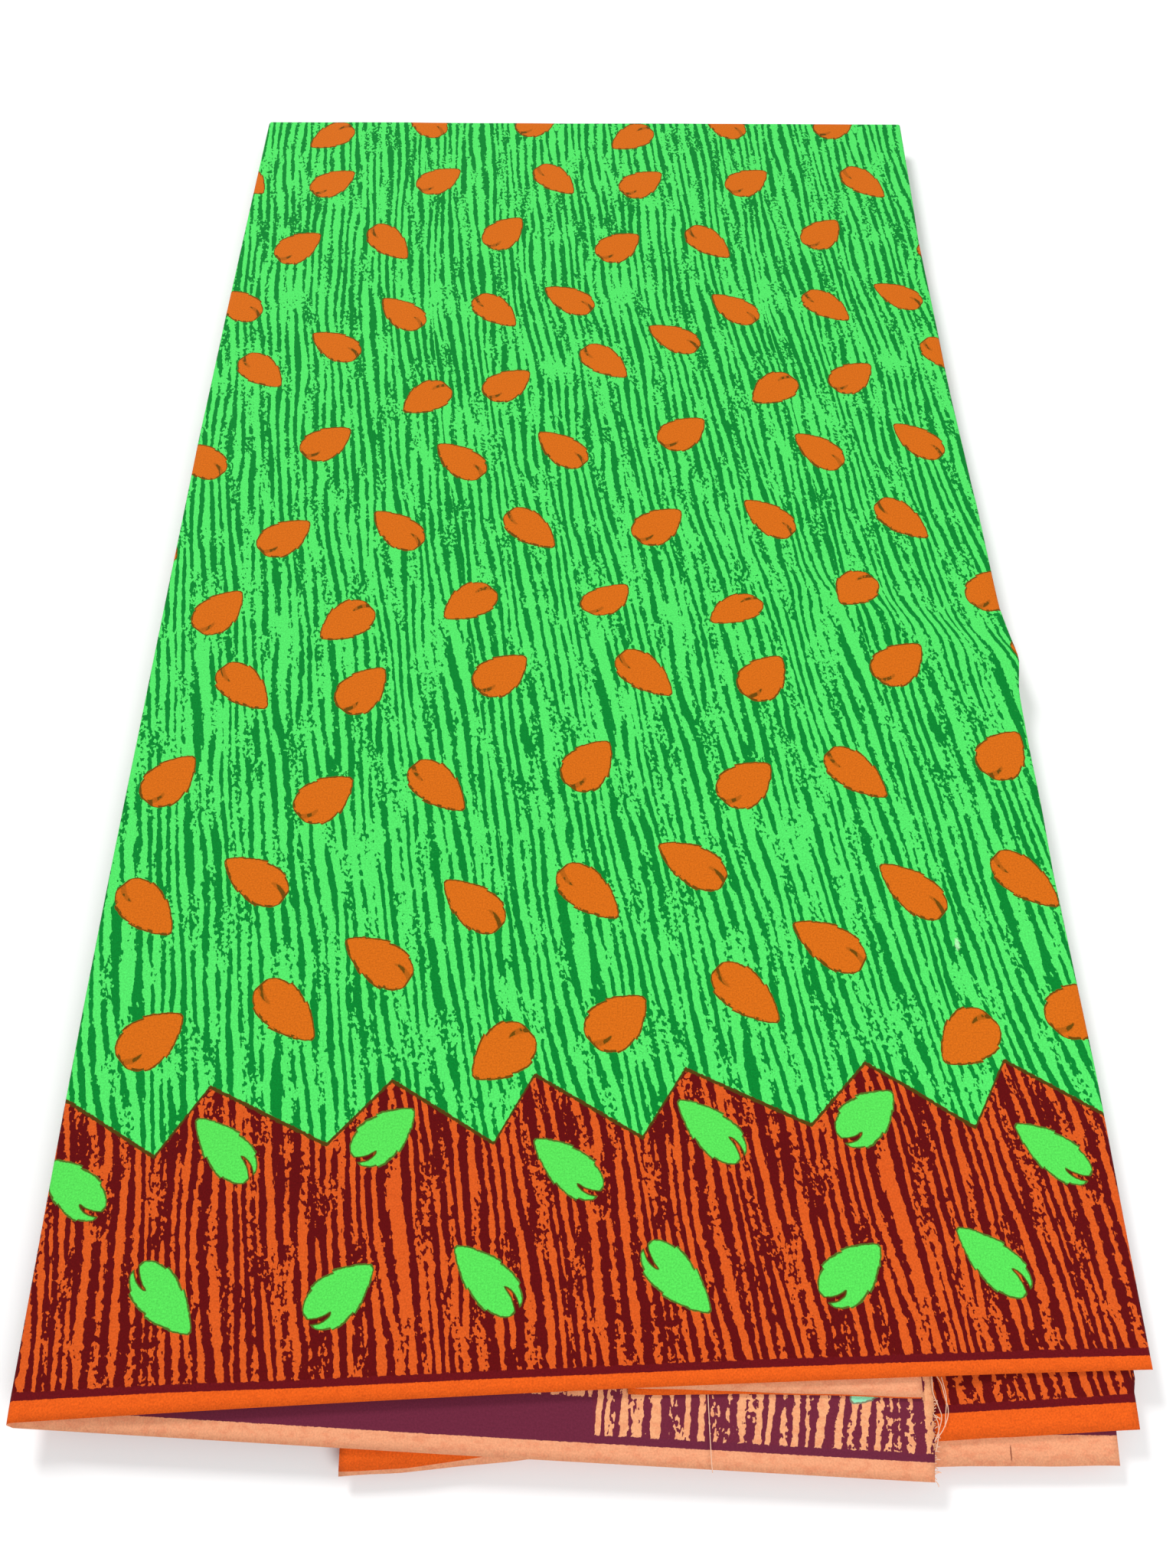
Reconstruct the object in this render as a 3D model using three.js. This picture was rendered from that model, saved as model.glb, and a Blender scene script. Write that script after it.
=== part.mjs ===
// A six-yard length of printed cotton, folded into a flat pile and laid on a table.
// +X runs to the right, +Y to the back fold, +Z up. All sizes are in millimetres.
// The cut is about 1200 x 5490: folded in half selvedge to selvedge, which makes the back fold,
// then folded over and over across its length, which makes the left and right folds.
import * as THREE from "three";
import { mergeVertices } from "three/addons/utils/BufferGeometryUtils.js";

// Driving sizes
const HALF_LENGTH = 314; // front edge of the lowest flap to the back fold, halved
const HALF_WIDTH = 173.7; // widest point of the left and right folds, halved
const WALL = 1; // thickness of each cloth wall
const GAP = 0.3; // air between two walls
const PLY = WALL + GAP; // rise from one wall to the next
const TOP_LEVEL = 13.6; // upper face of the top panel where the pile is full

// Levels of the walls' upper faces, each one ply below the one before it
const STRIP_LEVEL = TOP_LEVEL - PLY;
const FLAP_LEVEL = STRIP_LEVEL - PLY;
const UPPER_LEVEL = FLAP_LEVEL - PLY;
const LOWER_LEVEL = UPPER_LEVEL - PLY;
const SHELF_LEVEL = LOWER_LEVEL - PLY;

// Outline of the top panel
const BACK = { left: HALF_LENGTH, right: HALF_LENGTH - 2 };
const FRONT = { left: -298.7, right: -284.4, bow: 1.6 };
const LEFT_SIDE = { ends: -170.1, bow: 3.6 };
const RIGHT_SIDE = [
  { y: -300, x: 172.7 },
  { y: -200, x: 172.9 },
  { y: -125, x: 171.4 },
  { y: -80, x: 172.1 },
  { y: -33, x: HALF_WIDTH },
  { y: -7, x: 169.3 },
  { y: 50, x: 169.6 },
  { y: 113, x: 168 },
  { y: 221, x: 166.8 },
  { y: 312, x: 169.6 },
];

// Soft creases pressed into the pile, from one end to the other
const CREASES = [
  { x1: -64, y1: -121, x2: 14, y2: -96, height: -1.2, reach: 15 },
  { x1: -40, y1: -84, x2: 22, y2: -66, height: 0.7, reach: 14 },
  { x1: 52, y1: 26, x2: 176, y2: -29, height: 1.6, reach: 17 },
  { x1: 60, y1: -12, x2: 170, y2: -62, height: -0.9, reach: 16 },
  { x1: -150, y1: 90, x2: -60, y2: 150, height: 0.8, reach: 26 },
  { x1: 40, y1: 190, x2: 150, y2: 120, height: -0.7, reach: 24 },
  { x1: -120, y1: 240, x2: 60, y2: 262, height: 0.6, reach: 20 },
];

// The right end of the pile is two plies thinner where the tucked strip and the end flap stop
const THIN = { depth: 2 * PLY, from: 104, to: 134, front: -262, back: -60 };

// The front edges sag towards the table
const SAG = { from: -289, depth: 3, length: 25 };

// Rounded folds at the sides of the top panel
const FOLD_RADIUS = PLY; // middle of the wall
const FOLD_OUTER = FOLD_RADIUS + WALL / 2;
const FOLD_STEPS = 5;
const LIP = 1.6; // flat stretch under the fold

// Hidden layers
const PLATEAU_DROP = 0.8; // air under the top panel
const PLATEAU = { sides: 4.3, backLow: 1, backHigh: 2.4 }; // it stands inside the top panel's folds
const STEP = 0.087; // share of the length that the visible flaps lie in
const STRIP_BACK = -268; // where the flaps end under the top panel
const LEDGE_SPLIT = { low: 0.276, high: 0.287 }; // the shelf rises on the left of the flaps

// Flaps that show at the front, with their edges; they run in under the top panel
const FLAPS = [
  {
    name: "tucked_strip",
    level: STRIP_LEVEL,
    colour: 0xe8a070,
    front: [
      { x: -166, y: -284 },
      { x: 103, y: -291.8 },
    ],
  },
  {
    name: "end_flap",
    level: FLAP_LEVEL,
    colour: 0xe8a070,
    front: [
      { x: -166.3, y: -300.1 },
      { x: -40, y: -306.8 },
      { x: 104, y: -HALF_LENGTH },
    ],
  },
  {
    name: "right_upper_ply",
    level: UPPER_LEVEL,
    colour: 0xe06a1c,
    front: [
      { x: 14, y: -307 },
      { x: 106, y: -303.6 },
      { x: 167.8, y: -300.4 },
    ],
  },
  {
    name: "right_lower_ply",
    level: LOWER_LEVEL,
    colour: 0xe8a070,
    front: [
      { x: 50, y: -310.4 },
      { x: 161, y: -310 },
    ],
  },
  {
    name: "left_upper_ply",
    level: UPPER_LEVEL,
    colour: 0xe06a1c,
    front: [
      { x: -72.3, y: -311.4 },
      { x: -53, y: -310.7 },
      { x: -31, y: -307.7 },
      { x: 11, y: -300 },
    ],
  },
  {
    name: "left_lower_ply",
    level: LOWER_LEVEL,
    colour: 0xe8a070,
    front: [
      { x: -72.5, y: -312.7 },
      { x: -55, y: -311.9 },
      { x: -19.5, y: -308.6 },
      { x: 46, y: -302 },
    ],
  },
];

const lerp = THREE.MathUtils.lerp;
const smoothstep = THREE.MathUtils.smoothstep;

// A value read from a table of rows by its key column, straight between rows.
function along(rows, key, value, at) {
  const last = rows.length - 1;
  let i = 0;
  while (i < last - 1 && at > rows[i + 1][key]) {
    i += 1;
  }
  const t = THREE.MathUtils.clamp((at - rows[i][key]) / (rows[i + 1][key] - rows[i][key]), 0, 1);
  return lerp(rows[i][value], rows[i + 1][value], t);
}

function leftSide(y) {
  const t = THREE.MathUtils.clamp((y + 300) / 614, 0, 1);
  return LEFT_SIDE.ends - LEFT_SIDE.bow * Math.sin(Math.PI * t);
}

function rightSide(y) {
  return along(RIGHT_SIDE, "y", "x", y);
}

function frontEdge(x) {
  const t = (x + HALF_WIDTH) / (2 * HALF_WIDTH);
  return lerp(FRONT.left, FRONT.right, t) + FRONT.bow * 4 * t * (1 - t);
}

function backFold(x) {
  return lerp(BACK.left, BACK.right, (x + HALF_WIDTH) / (2 * HALF_WIDTH));
}

function creaseHeight(x, y) {
  let height = 0;
  for (const c of CREASES) {
    const run = new THREE.Vector2(c.x2 - c.x1, c.y2 - c.y1);
    const to = new THREE.Vector2(x - c.x1, y - c.y1);
    const t = THREE.MathUtils.clamp(to.dot(run) / run.lengthSq(), 0, 1);
    const away = to.sub(run.multiplyScalar(t)).length();
    height += c.height * Math.exp(-((away / c.reach) ** 2));
  }
  return height;
}

function thinning(x, y) {
  const across = smoothstep(x, THIN.from, THIN.to);
  return THIN.depth * across * (1 - smoothstep(y, THIN.front, THIN.back));
}

function sag(y) {
  return SAG.depth * (Math.max(SAG.from - y, 0) / SAG.length) ** 2;
}

// Rise or fall of the top panel from its flat level
function relief(x, y) {
  return creaseHeight(x, y) - thinning(x, y) - sag(y);
}

// A box cut into a grid, with each corner moved to where place(i, j, k) puts it. It stays one closed body.
function shapedSolid(across, lengthwise, through, place) {
  const box = new THREE.BoxGeometry(across, lengthwise, through, across, lengthwise, through);
  box.translate(across / 2, lengthwise / 2, through / 2);
  box.deleteAttribute("normal");
  box.deleteAttribute("uv");
  const solid = mergeVertices(box, 1e-4);
  const points = solid.getAttribute("position");
  const point = new THREE.Vector3();
  for (let n = 0; n < points.count; n += 1) {
    point.fromBufferAttribute(points, n).round();
    point.copy(place(point.x, point.y, point.z));
    points.setXYZ(n, point.x, point.y, point.z);
  }
  solid.computeVertexNormals();
  return solid;
}

function namedMesh(name, geometry, colour) {
  const material = new THREE.MeshStandardMaterial({ color: colour, roughness: 0.85, metalness: 0 });
  const mesh = new THREE.Mesh(geometry, material);
  mesh.name = name;
  return mesh;
}

// Shares of the width and of the length where the top panel and the hidden layers are divided
const COLUMNS = [0.02, 0.08, 0.15, 0.215, LEDGE_SPLIT.low, LEDGE_SPLIT.high, 0.36, 0.44, 0.52, 0.6,
  0.68, 0.76, 0.82, 0.88, 0.94, 0.98];
const ROWS = [0, 0.03, 0.06, STEP, STEP + 0.002];
const PLAIN_ROWS = 22;
for (let n = 1; n <= PLAIN_ROWS; n += 1) {
  ROWS.push(lerp(STEP, 0.99, n / PLAIN_ROWS));
}

function planPoint(u, v) {
  const roughY = lerp(frontEdge(0), backFold(0), v);
  const x = lerp(leftSide(roughY), rightSide(roughY), u);
  return new THREE.Vector2(x, lerp(frontEdge(x), backFold(x), v));
}

// The top panel: flat above, with a half-round fold and a short lip down each side, and a
// quarter-round roll over the back fold. Its front edge is the open selvedge.
function topPanel() {
  const sideStops = FOLD_STEPS + 1;
  const across = COLUMNS.length - 1 + 2 * sideStops;
  const backStops = 3;
  const lengthwise = ROWS.length - 1 + backStops;

  const place = (i, j, k) => {
    const rho = FOLD_RADIUS - WALL / 2 + k * WALL;
    const leftSteps = Math.max(sideStops - i, 0);
    const rightSteps = Math.max(i - (across - sideStops), 0);
    const steps = Math.max(leftSteps, rightSteps);
    const backSteps = Math.max(j - (ROWS.length - 1), 0);

    const column = THREE.MathUtils.clamp(i - sideStops, 0, COLUMNS.length - 1);
    const row = Math.min(j, ROWS.length - 1);
    const plan = planPoint(COLUMNS[column], ROWS[row]);
    const roll = (backSteps / backStops) * (Math.PI / 2);
    const under = steps > FOLD_STEPS / 2;
    let y = plan.y;
    if (backSteps > 0 && under) {
      y = backFold(plan.x) - FOLD_OUTER - 0.2 * (backStops - backSteps);
    } else if (backSteps > 0) {
      y = backFold(plan.x) - FOLD_OUTER + rho * Math.sin(roll);
    }
    const centre = TOP_LEVEL - WALL / 2 - FOLD_RADIUS + relief(plan.x, plan.y);
    if (steps === 0) {
      return new THREE.Vector3(plan.x, y, centre + rho * Math.cos(roll));
    }
    const turn = (Math.min(steps, FOLD_STEPS) / FOLD_STEPS) * Math.PI;
    const lip = steps > FOLD_STEPS ? LIP : 0;
    const outward = rho * Math.sin(turn) - lip;
    const height = under ? rho * Math.cos(turn) : rho * Math.cos(turn) * Math.cos(roll);
    const x = leftSteps > 0
      ? leftSide(plan.y) + FOLD_OUTER - outward
      : rightSide(plan.y) - FOLD_OUTER + outward;
    return new THREE.Vector3(x, y, centre + height);
  };
  return shapedSolid(across, lengthwise, 1, place);
}

// A flap: a flat wall from its own front edge to under the top panel.
function flap({ front, level }) {
  const left = front[0].x;
  const right = front.at(-1).x;
  const across = Math.max(3, Math.round((right - left) / 24));
  const lengthwise = 4;
  const place = (i, j, k) => {
    const x = lerp(left, right, i / across);
    const y = lerp(along(front, "x", "y", x), STRIP_BACK, j / lengthwise);
    return new THREE.Vector3(x, y, level - WALL + k * WALL - sag(y));
  };
  return shapedSolid(across, lengthwise, 1, place);
}

// Edge of the hidden layers, from the table up: each row is one turn of the layered profile.
// share is the height as a part of the ledge's height, inset is how far it stands in from the folds.
const EDGE_PROFILE = [
  { share: 0, inset: 2.2 },
  { share: 0.07, inset: 1 },
  { share: 0.2, inset: 0.7 },
  { share: 0.27, inset: 2 },
  { share: 0.34, inset: 0.9 },
  { share: 0.47, inset: 0.6 },
  { share: 0.54, inset: 1.9 },
  { share: 0.61, inset: 0.8 },
  { share: 0.76, inset: 0.7 },
  { share: 0.83, inset: 2 },
  { share: 0.9, inset: 1 },
  { share: 1, inset: 1.6 },
];
const CORE_FRONT = [
  { x: -174, y: -294.5 },
  { x: -78, y: -298.5 },
  { x: -72, y: -305.5 },
  { x: 158, y: -305 },
  { x: 166, y: -296 },
  { x: 174, y: -290 },
];

function hiddenLayers() {
  const columns = [0, ...COLUMNS, 1];
  const rows = [...ROWS, 1];
  const through = EDGE_PROFILE.length + 1;
  const across = columns.length - 1;
  const lengthwise = rows.length - 1;
  const stepRow = ROWS.indexOf(STEP);

  const place = (i, j, k) => {
    const onPlateau = k >= EDGE_PROFILE.length;
    const onTop = k > EDGE_PROFILE.length;
    const edge = EDGE_PROFILE[Math.min(k, EDGE_PROFILE.length - 1)];
    const sideInset = onPlateau ? PLATEAU.sides : edge.inset;
    const backHeightInset = onTop ? PLATEAU.backHigh : PLATEAU.backLow;
    const backInset = onPlateau ? backHeightInset : edge.inset;
    const plan = planPoint(columns[i], rows[j]);
    let { x, y } = plan;
    const inFlapRoom = j <= stepRow;
    if (inFlapRoom) {
      y = lerp(along(CORE_FRONT, "x", "y", x), planPoint(columns[i], STEP).y, rows[j] / STEP);
    }

    const shelf = columns[i] <= LEDGE_SPLIT.low ? UPPER_LEVEL : SHELF_LEVEL;
    const full = TOP_LEVEL - WALL - PLATEAU_DROP + relief(plan.x, plan.y);
    const lipBottom = TOP_LEVEL - WALL - 2 * FOLD_RADIUS + relief(plan.x, plan.y);
    const top = inFlapRoom ? shelf - sag(y) : full;
    const ledge = inFlapRoom ? top - 0.2 : lipBottom - GAP;
    const z = onTop ? top : ledge * (onPlateau ? 1 : edge.share);

    if (i === 0) {
      x = leftSide(y) + sideInset;
    } else if (i === across) {
      x = rightSide(y) - sideInset;
    }
    if (j === 0) {
      y += sideInset - EDGE_PROFILE[0].inset;
    } else if (j === lengthwise) {
      y -= backInset;
    }
    return new THREE.Vector3(x, y, z);
  };
  return shapedSolid(across, lengthwise, through, place);
}

const cloth = new THREE.Group();
cloth.add(namedMesh("hidden_layers", hiddenLayers(), 0x35c24a));
cloth.add(namedMesh("top_panel", topPanel(), 0x3fd94f));
for (const row of FLAPS) {
  cloth.add(namedMesh(row.name, flap(row), row.colour));
}

// The origin is at the middle of the pile's box, on the table.
const box = new THREE.Box3().setFromObject(cloth);
const middle = box.getCenter(new THREE.Vector3());
cloth.position.set(-middle.x, -middle.y, -box.min.z);

export default cloth;
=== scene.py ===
# %% [markdown]
# # A folded length of wax print cotton
# Six yards of printed cotton lie folded in a flat pile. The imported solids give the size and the
# levels of the layers. This script lays a thin printed cloth on each of them, with rounded folds,
# soft creases, a repeating print and a few frayed yarns at the cut end.
# All tables below are in millimetres, and metres are made only when a mesh is written.

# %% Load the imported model
import math
import bmesh
import bpy
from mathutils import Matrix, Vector, noise


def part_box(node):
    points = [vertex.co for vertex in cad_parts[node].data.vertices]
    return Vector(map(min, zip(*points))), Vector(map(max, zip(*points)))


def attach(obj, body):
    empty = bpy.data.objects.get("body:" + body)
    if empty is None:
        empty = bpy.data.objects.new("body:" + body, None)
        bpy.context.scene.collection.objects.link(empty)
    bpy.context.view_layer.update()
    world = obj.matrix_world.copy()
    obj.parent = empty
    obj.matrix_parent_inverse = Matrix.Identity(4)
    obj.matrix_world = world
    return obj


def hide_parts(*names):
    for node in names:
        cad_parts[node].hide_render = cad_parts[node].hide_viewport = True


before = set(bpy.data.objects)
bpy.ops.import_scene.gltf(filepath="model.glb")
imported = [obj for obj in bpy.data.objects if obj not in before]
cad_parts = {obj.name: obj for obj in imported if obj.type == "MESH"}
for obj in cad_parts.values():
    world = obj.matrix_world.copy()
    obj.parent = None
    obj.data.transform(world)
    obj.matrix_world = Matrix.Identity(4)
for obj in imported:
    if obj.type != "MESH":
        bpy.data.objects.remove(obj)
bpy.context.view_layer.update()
print("CAD nodes:", sorted(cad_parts))

# %% [markdown]
# ## Where the layers lie
# The solids were built in a frame of their own and then centred. The tucked strip is a plain
# straight wall, so its box tells how far everything was moved. The outline of the top cloth is
# repeated here from the same few sizes, so that the thin cloth can be evaluated at any point.

# %% Named sizes of the pile
MM = 0.001
STRIP_LEFT = -166.0
STRIP_BACK = -268.0
strip_low, strip_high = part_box("tucked_strip")
SHIFT_X = strip_low.x / MM - STRIP_LEFT
SHIFT_Y = strip_high.y / MM - STRIP_BACK

CLOTH = 0.4
PLY_RISE = 1.3
TOP_LEVEL = 13.6
STRIP_LEVEL = TOP_LEVEL - PLY_RISE
FLAP_LEVEL = STRIP_LEVEL - PLY_RISE
UPPER_LEVEL = FLAP_LEVEL - PLY_RISE
LOWER_LEVEL = UPPER_LEVEL - PLY_RISE
HALF_WIDTH = 173.7
HALF_LENGTH = 314.0
PANEL_DEPTH = 612.0
LEFT_SIDE = {"x": -170.1, "bulge": 3.6, "from": -300, "length": 614}
FRONT = {"left": -298.7, "right": -284.4, "bow": 1.6}
BACK_SLANT = 2.0
SAG = {"from": -289, "over": 25, "depth": 3}
# Fewer layers lie under the right front corner
THIN_CORNER = {"depth": 2.6, "x1": 104, "x2": 134, "y1": -262, "y2": -60}
RIGHT_SIDE = [
    (-300, 172.7), (-200, 172.9), (-125, 171.4), (-80, 172.1), (-33, 173.7),
    (-7, 169.3), (50, 169.6), (113, 168.0), (221, 166.8), (312, 169.6),
]
# The soft cloth stands a little proud of the solid at its folds
LEFT_SPREAD = 1.3
RIGHT_SPREAD = [
    (-300, 2.0), (-200, 2.2), (-100, 2.0), (-45, 0.9), (-8, 3.2), (20, 2.6), (60, 1.7), (150, 1.6),
    (250, 1.4), (312, 0.6),
]
CREASES = [
    {"x1": -64, "y1": -121, "x2": 14, "y2": -96, "height": -1.2, "reach": 15},
    {"x1": -40, "y1": -84, "x2": 22, "y2": -66, "height": 0.7, "reach": 14},
    {"x1": 52, "y1": 26, "x2": 176, "y2": -29, "height": 1.6, "reach": 17},
    {"x1": 60, "y1": -12, "x2": 170, "y2": -62, "height": -0.9, "reach": 16},
    {"x1": -150, "y1": 90, "x2": -60, "y2": 150, "height": 0.8, "reach": 26},
    {"x1": 40, "y1": 190, "x2": 150, "y2": 120, "height": -0.7, "reach": 24},
    {"x1": -120, "y1": 240, "x2": 60, "y2": 262, "height": 0.6, "reach": 20},
]
# Sharper parts of the same creases, which only the thin cloth shows
CREASES += [
    {"x1": -62, "y1": -133, "x2": 26, "y2": -94, "height": -1.0, "reach": 8},
    {"x1": -66, "y1": -121, "x2": 22, "y2": -82, "height": 0.9, "reach": 8},
    {"x1": 80, "y1": 11, "x2": 178, "y2": -31, "height": 0.9, "reach": 6},
    {"x1": 92, "y1": -8, "x2": 174, "y2": -46, "height": -1.0, "reach": 8},
    {"x1": -20, "y1": -150, "x2": 6, "y2": -128, "height": -0.4, "reach": 7},
]


def clamp(value, low=0.0, high=1.0):
    return max(low, min(high, value))


def lerp(a, b, t):
    return a + (b - a) * t


def smooth(value, low, high):
    t = clamp((value - low) / (high - low))
    return t * t * (3 - 2 * t)


def along(rows, at):
    """A value read from rows of (place, value), straight between them."""
    for (a, va), (b, vb) in zip(rows, rows[1:]):
        if at <= b:
            return lerp(va, vb, clamp((at - a) / (b - a)))
    return rows[-1][1]


def left_side(y, spread=0.0):
    share = clamp((y - LEFT_SIDE["from"]) / LEFT_SIDE["length"])
    bulge = LEFT_SIDE["bulge"] * math.sin(math.pi * share)
    return LEFT_SIDE["x"] - bulge - spread * smooth(y, 40, -220)


def right_side(y, spread=0.0):
    return along(RIGHT_SIDE, y) + spread * along(RIGHT_SPREAD, y)


def front_edge(x):
    t = (x + HALF_WIDTH) / (2 * HALF_WIDTH)
    return lerp(FRONT["left"], FRONT["right"], t) + FRONT["bow"] * 4 * t * (1 - t)


def back_fold(x):
    return lerp(HALF_LENGTH, HALF_LENGTH - BACK_SLANT, (x + HALF_WIDTH) / (2 * HALF_WIDTH))


def crease_height(x, y):
    height = 0.0
    for c in CREASES:
        run = Vector((c["x2"] - c["x1"], c["y2"] - c["y1"]))
        to = Vector((x - c["x1"], y - c["y1"]))
        t = clamp(to.dot(run) / run.length_squared)
        away = (to - run * t).length
        height += c["height"] * math.exp(-((away / c["reach"]) ** 2))
    return height


def sag(y):
    """How far the open front edge of the pile sinks."""
    return SAG["depth"] * (max(SAG["from"] - y, 0) / SAG["over"]) ** 2


def relief(x, y):
    """Rise or fall of the top cloth from its flat level."""
    c = THIN_CORNER
    thin = c["depth"] * smooth(x, c["x1"], c["x2"]) * (1 - smooth(y, c["y1"], c["y2"]))
    return crease_height(x, y) - thin - sag(y)


print(f"moved by {SHIFT_X:.2f}, {SHIFT_Y:.2f} mm; top of the cloth at {TOP_LEVEL} mm")

# %% [markdown]
# ## The print, charted on the cloth
# The print is charted in the cloth's own measure: how far along the selvedge, and how far in from
# it. Each mesh carries that measure as an attribute, so the pattern turns with every fold. The
# stripes lean a little against the selvedge, so a third number holds the leaning measure.
# One repeat is 160 mm long. Its leaves are charted to the half of a 5 mm square.

# %% The repeat and its leaves
REPEAT = 160.0
# Each row of the chart is (squares in from the selvedge, squares along, which way the tip points)
SQUARE = 5.0
BORDER_LEAF_HALF = 13.3
FIELD_LEAF_HALF = 13.5
# How far off the leaves' place the block with the stripes was set down
SLIP = 0.8
TIPS = {
    "up right": 36, "steep up right": 46, "up left": 132, "flat up left": 143,
    "turned over": 137, "down right": -50, "down left": -144,
}
BORDER_LEAVES = [
    (6, 6, "down right"), (6, 17, "up right"), (6.5, 26, "up left"),
    (13, 31, "turned over"), (15, 8.5, "up left"), (15.5, 19, "up right"),
]
BODY_LEAVES = [
    (20.5, 26.5, "down left"), (22.5, 2.5, "up right"), (24, 11.5, "down right"),
    (27.5, 17.5, "flat up left"), (31.5, 24, "up left"), (32, 0.5, "down right"),
    (34, 8, "flat up left"), (40.5, 12.5, "up right"), (41, 21, "down right"),
    (42.5, 0.5, "steep up right"), (50, 14.5, "steep up right"), (50.5, 5, "down right"),
    (51, 25.5, "up right"), (56.5, 12.5, "down left"), (58, 2, "steep up right"),
    (58, 22.5, "down left"), (65.5, 6.5, "up right"), (65.5, 27.5, "down right"),
    (66, 16, "up left"), (73.5, 21, "up left"), (74.5, 30, "up left"), (76, 9, "up right"),
    (81, 17.5, "down left"), (82.5, 25, "up right"), (85, 2, "down right"),
    (88, 8.5, "flat up left"), (92, 14.5, "up left"), (92, 23.5, "down right"),
    (93.5, 30.5, "flat up left"), (101, 3.5, "up right"), (101.5, 12.5, "down right"),
    (103, 24, "steep up right"), (110.5, 6, "up right"), (111, 17, "up right"),
    (111, 29, "down right"), (118, 5, "down left"), (120.5, 15, "up left"),
    (120.5, 27, "up right"),
]
LEAVES = []
for kind, half, rows in ((1, BORDER_LEAF_HALF, BORDER_LEAVES), (0, FIELD_LEAF_HALF, BODY_LEAVES)):
    for squares_in, squares_along, tip in rows:
        leaf = {"u": squares_along * SQUARE, "v": squares_in * SQUARE, "kind": kind, "half": half}
        leaf["angle"] = math.radians(TIPS[tip])
        leaf["side"] = -1 if tip == "turned over" else 1
        LEAVES.append(leaf)


def off_leaf(leaf, u, v):
    """How far a place lies from a leaf's middle, counted in the nearest repeat."""
    return (u - leaf["u"] + REPEAT / 2) % REPEAT - REPEAT / 2, v - leaf["v"]


def leaf_under(u, v):
    """The nearest leaf, and the place of its middle."""
    leaf = min(LEAVES, key=lambda one: Vector(off_leaf(one, u, v)).length)
    du, dv = off_leaf(leaf, u, v)
    return leaf, u - du, v - dv


# Leaves look shorter in the dip beside the big crease, and a little longer at the far back
DIP = {"from": 275, "to": 300, "middle": 38, "reach": 60, "shorter": 0.5}
FAR_BACK = 500
FAR_FLATTENING = 0.92


def flattening(u, v):
    """How much a leaf is foreshortened, from its middle's place."""
    if v > FAR_BACK:
        return FAR_FLATTENING
    if not DIP["from"] < v < DIP["to"]:
        return 1.0
    across = (u - DIP["middle"]) / DIP["reach"]
    return 1 + DIP["shorter"] * math.exp(-across * across)


# The cloth was drawn flat by hand, so towards the back the print lies askew.
BACK_ASKEW = 0.045
ASKEW_FROM, ASKEW_TO = 420, 540


def drift(u, v):
    """How far the print has strayed from square."""
    return -BACK_ASKEW * u * smooth(v, ASKEW_FROM, ASKEW_TO)


# The big crease on the right pulls the cloth askew, so the print steps across it.
PULL = {"u1": 52, "v1": 316, "u2": 176, "v2": 256, "step": 4.5, "reach": 7.5}


def past_pull(u, v):
    """How far a place lies behind the big crease, and how far along it."""
    run = Vector((PULL["u2"] - PULL["u1"], PULL["v2"] - PULL["v1"]))
    to = Vector((u - PULL["u1"], v - PULL["v1"]))
    behind = (run.x * to.y - run.y * to.x) / run.length
    return behind, clamp(to.dot(run) / run.length_squared)


# The stripes lean most just behind the border, a little less in it, and hardly at the back
LEAN = {"field": 0.20, "border": 0.045, "border depth": 75, "steady": 0.085, "late": 0.09}


def stripe_place(u, v):
    """The leaning measure that the stripes are printed by."""
    t = clamp(v / PANEL_DEPTH, 0.0, 1.2)
    lean = LEAN["field"] * v - LEAN["border"] * min(v, LEAN["border depth"])
    lean -= PANEL_DEPTH * (LEAN["steady"] / 2 * t ** 2 + LEAN["late"] / 7 * t ** 7)
    behind, share = past_pull(u, v)
    lean += PULL["step"] * smooth(share, 0, 0.6) * smooth(behind, -PULL["reach"], PULL["reach"])
    return u + lean


print(len(LEAVES), "leaves in a repeat of", REPEAT, "mm")

# %% [markdown]
# ## A cloth from a grid
# A cloth is a grid of points on the middle of its thickness. The helper writes the mesh and its
# measures, and the Solidify modifier gives it two faces, the printed one and the paler wrong one.

# %% Helpers that write the measures and the cloth


def write_measures(mesh, measure):
    """Gives each corner its place on the cloth, measure(corner) = (u, v), and its place on a leaf."""
    cloth = mesh.attributes.new("cloth", "FLOAT_VECTOR", "CORNER")
    on_leaf = mesh.attributes.new("leaf", "FLOAT_VECTOR", "CORNER")
    slip = mesh.attributes.new("slip", "FLOAT_VECTOR", "CORNER")
    for face in mesh.polygons:
        places = [measure(face, loop) for loop in face.loop_indices]
        mid_u = sum(p[0] for p in places) / len(places)
        mid_v = sum(p[1] for p in places) / len(places)
        leaf, leaf_u, leaf_v = leaf_under(mid_u, mid_v)
        leaf_lean = stripe_place(leaf_u, leaf_v)
        flatter = flattening(leaf_u, leaf_v)

        def turned(du, dv):
            """A distance along the leaf and across it, as shares of its half length."""
            cosine, sine = math.cos(leaf["angle"]), math.sin(leaf["angle"])
            across = (dv * cosine - du * sine) * leaf["side"]
            return (du * cosine + dv * sine) / leaf["half"], across / leaf["half"]

        for loop, (u, v) in zip(face.loop_indices, places):
            lean = stripe_place(u, v)
            cloth.data[loop].vector = (u * MM, v * MM, lean * MM)
            x, y = turned(lean - leaf_lean, (v - leaf_v) * flatter)
            on_leaf.data[loop].vector = (x, y, leaf["kind"] + 0.5)
            slip.data[loop].vector = (*turned(SLIP, SLIP), 0)


def placed(x, y, z):
    """A point of the tables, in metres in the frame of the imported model."""
    return ((x + SHIFT_X) * MM, (y + SHIFT_Y) * MM, z * MM)


def new_object(name, data, materials=()):
    for m in materials:
        data.materials.append(m)
    obj = bpy.data.objects.new(name, data)
    bpy.context.scene.collection.objects.link(obj)
    return obj


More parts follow.
